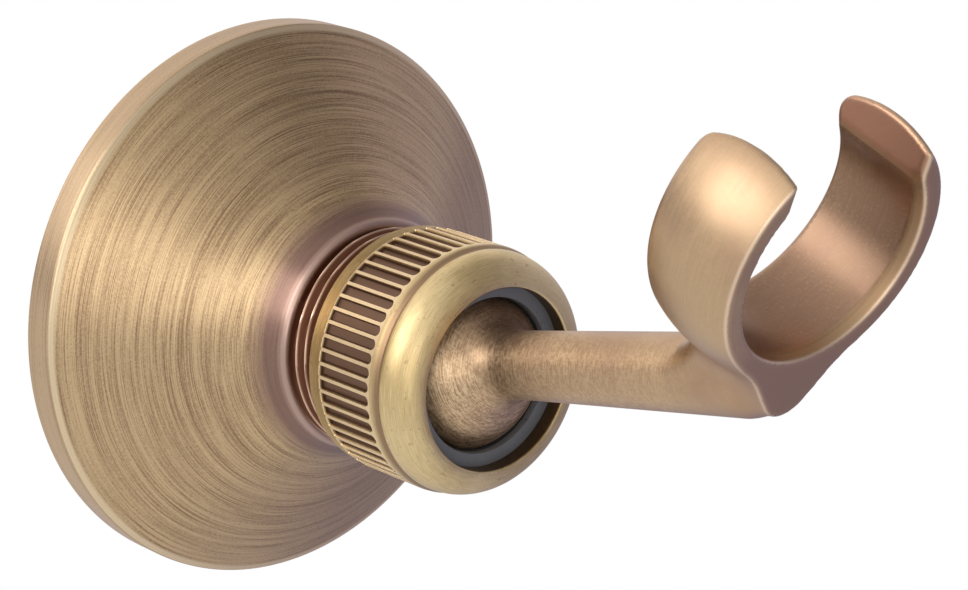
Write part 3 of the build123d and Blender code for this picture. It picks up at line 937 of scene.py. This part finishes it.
# Painted shade: the slot floors are darkened to a deep brown.
sunk = between(tree, lines["Radius"], (NUT_R + 0.1) * MM, (NUT_R - 0.12) * MM)
slot_floor_shade = blend_colour(tree, cloud["Clouds"], (0.125, 0.072, 0.048), (0.21, 0.128, 0.09))
colour = blend_colour(tree, common(tree, sunk, on_band), colour, slot_floor_shade)
# Painted shade: the step and groove at the dome's foot are darkened.
step_start = between(tree, height, (SLOT_FRONT + 0.3) * MM, (LAND_END - 0.1) * MM)
step_stop = between(tree, height, (STEP_END + 0.05) * MM, (STEP_END - 0.2) * MM)
colour = stain(tree, colour, common(tree, step_start, step_stop), 0.85, STEP_PAINTED_SHADE)
# Painted shade: the mouth's inner wall is nearly black.
inner = between(tree, lines["Radius"], (MOUTH_R + 0.14) * MM, (MOUTH_R + 0.02) * MM)
colour = stain(tree, colour, inner, 0.85, INNER_LIP_PAINTED_SHADE)
roughness = between(tree, tone, 0.38, 0.6, 0.4, 0.48)
link_finish(tree, shader, colour, roughness, lines["Fine"], 0.1, METAL_RELIEF)
shader.inputs["Metallic"].default_value = 1.0
nut.data.materials.append(nut_brass)
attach(nut, "nut")
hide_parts("knurled_nut")

# Studio: a pale matt floor well below the holder, and a surround that the camera sees as white.
# Metal mirrors it as soft panels: bright at the left, darker in the middle and mauve at the right.
# Two large square lamps stand at the left, one in front and one beside the flange.
FLOOR_HEIGHT = -0.16
FLOOR_HALF = 4.0
FLOOR_NEAR = 0.18
FLOOR_FAR = 0.32
PANEL_MAUVE = (0.43, 0.41, 0.57)
floor_corners = [
    (x * FLOOR_HALF, y * FLOOR_HALF, FLOOR_HEIGHT) for x, y in ((-1, -1), (1, -1), (1, 1), (-1, 1))
]
floor_mesh = bpy.data.meshes.new("studio_floor")
floor_mesh.from_pydata(floor_corners, [], [(0, 1, 2, 3)])
floor = bpy.data.objects.new("studio_floor", floor_mesh)
bpy.context.scene.collection.objects.link(floor)


def ray_kinds(tree):
    """Masks for what the camera sees straight, and for what shows in metal or glass."""
    seen = place(tree, "ShaderNodeLightPath").outputs
    mirrored = math_node(tree, "ADD", seen["Is Glossy Ray"], seen["Is Transmission Ray"], clamp=True)
    return seen["Is Camera Ray"], mirrored


pale, tree, shader, spot = new_material("pale_floor")
shader.inputs["Base Color"].default_value = (0.86, 0.86, 0.86, 1)
shader.inputs["Roughness"].default_value = 0.9
seen, mirrored = ray_kinds(tree)
far = between(tree, vector_node(tree, "LENGTH", spot), FLOOR_NEAR, FLOOR_FAR)
share = math_node(tree, "ADD", common(tree, seen, far), mirrored, clamp=True)
off_side = common(tree, between(tree, axes_of(tree, spot)[0], -0.03, 0.13), mirrored)
glow = blend_colour(tree, off_side, (1.0, 1.0, 1.0), PANEL_MAUVE)
white = place(tree, "ShaderNodeEmission", {"Color": glow, "Strength": 1.0}).outputs[0]
mixed = place(tree, "ShaderNodeMixShader", {0: share, 1: shader.outputs[0], 2: white})
tree.links.new(mixed.outputs[0], tree.nodes["Material Output"].inputs[0])
floor_mesh.materials.append(pale)

world = bpy.data.worlds.new("studio_surround")
bpy.context.scene.world = world
world.use_nodes = True
sky = world.node_tree
seen, mirrored = ray_kinds(sky)
way_x, way_y, way_z = axes_of(sky, place(sky, "ShaderNodeTexCoord").outputs["Generated"])
near_side = blend_colour(sky, between(sky, way_x, -0.2, -0.6), (0.82, 0.81, 0.8), (1.2, 1.18, 1.14))
near_side = blend_colour(sky, between(sky, way_x, -0.2, 0.5), near_side, (0.36, 0.345, 0.36))
near_side = blend_colour(sky, between(sky, way_x, 0.68, 0.95), near_side, (0.6, 0.58, 0.74))
far_side = blend_colour(sky, between(sky, way_x, -0.3, 0.1), (0.55, 0.53, 0.53), (1.0, 0.98, 1.08))
far_side = blend_colour(sky, between(sky, way_z, 0.15, 0.45), far_side, (1.3, 1.26, 1.22))
surround = blend_colour(sky, between(sky, way_y, 0.0, 0.7), near_side, far_side)
surround = blend_colour(sky, mirrored, (0.5, 0.5, 0.5), surround)
surround = blend_colour(sky, seen, surround, (1.0, 1.0, 1.0))
sky.links.new(surround, sky.nodes["Background"].inputs["Color"])


def soft_lamp(name, position, aim, size, power):
    """A square area lamp that points at aim; size in metres, power in watts."""
    data = bpy.data.lights.new(name, "AREA")
    data.shape = "RECTANGLE"
    data.size = data.size_y = size
    data.energy = power
    lamp = bpy.data.objects.new(name, data)
    lamp.location = position
    lamp.rotation_euler = (Vector(aim) - Vector(position)).to_track_quat("-Z", "Y").to_euler()
    bpy.context.scene.collection.objects.link(lamp)


soft_lamp("key_lamp", (-0.52, -0.68, 0.14), (0, -0.04, 0.0), 0.4, 0.94)
soft_lamp("side_lamp", (-0.66, 0.06, 0.42), (0, -0.07, 0.01), 0.5, 2.8)

# Camera: a long lens at the photograph's viewpoint, from the left and a little above.
# Its place and focal length were fitted to the flange, nut, ball and clip, with no shift.
SENSOR_WIDTH = 36.0
PHOTO_WIDTH = 968.0
FOCAL_PIXELS = 3119.0
AZIMUTH = math.radians(-41.16)
ELEVATION = math.radians(17.16)
EYE = Vector((-0.20013, -0.26651, 0.10245))
camera_data = bpy.data.cameras.new("camera")
camera_data.sensor_width = SENSOR_WIDTH
camera_data.lens = FOCAL_PIXELS * SENSOR_WIDTH / PHOTO_WIDTH
camera_data.clip_start = 0.01
camera = bpy.data.objects.new("camera", camera_data)
level = math.cos(ELEVATION)
behind = Vector((math.sin(AZIMUTH) * level, -math.cos(AZIMUTH) * level, math.sin(ELEVATION)))
right = (-behind).cross(Vector((0, 0, 1))).normalized()
above = right.cross(-behind)
facing = Matrix((right, above, behind)).transposed().to_4x4()
camera.matrix_world = Matrix.Translation(EYE) @ facing
bpy.context.scene.collection.objects.link(camera)
bpy.context.scene.camera = camera
bpy.context.scene.view_settings.view_transform = "Standard"
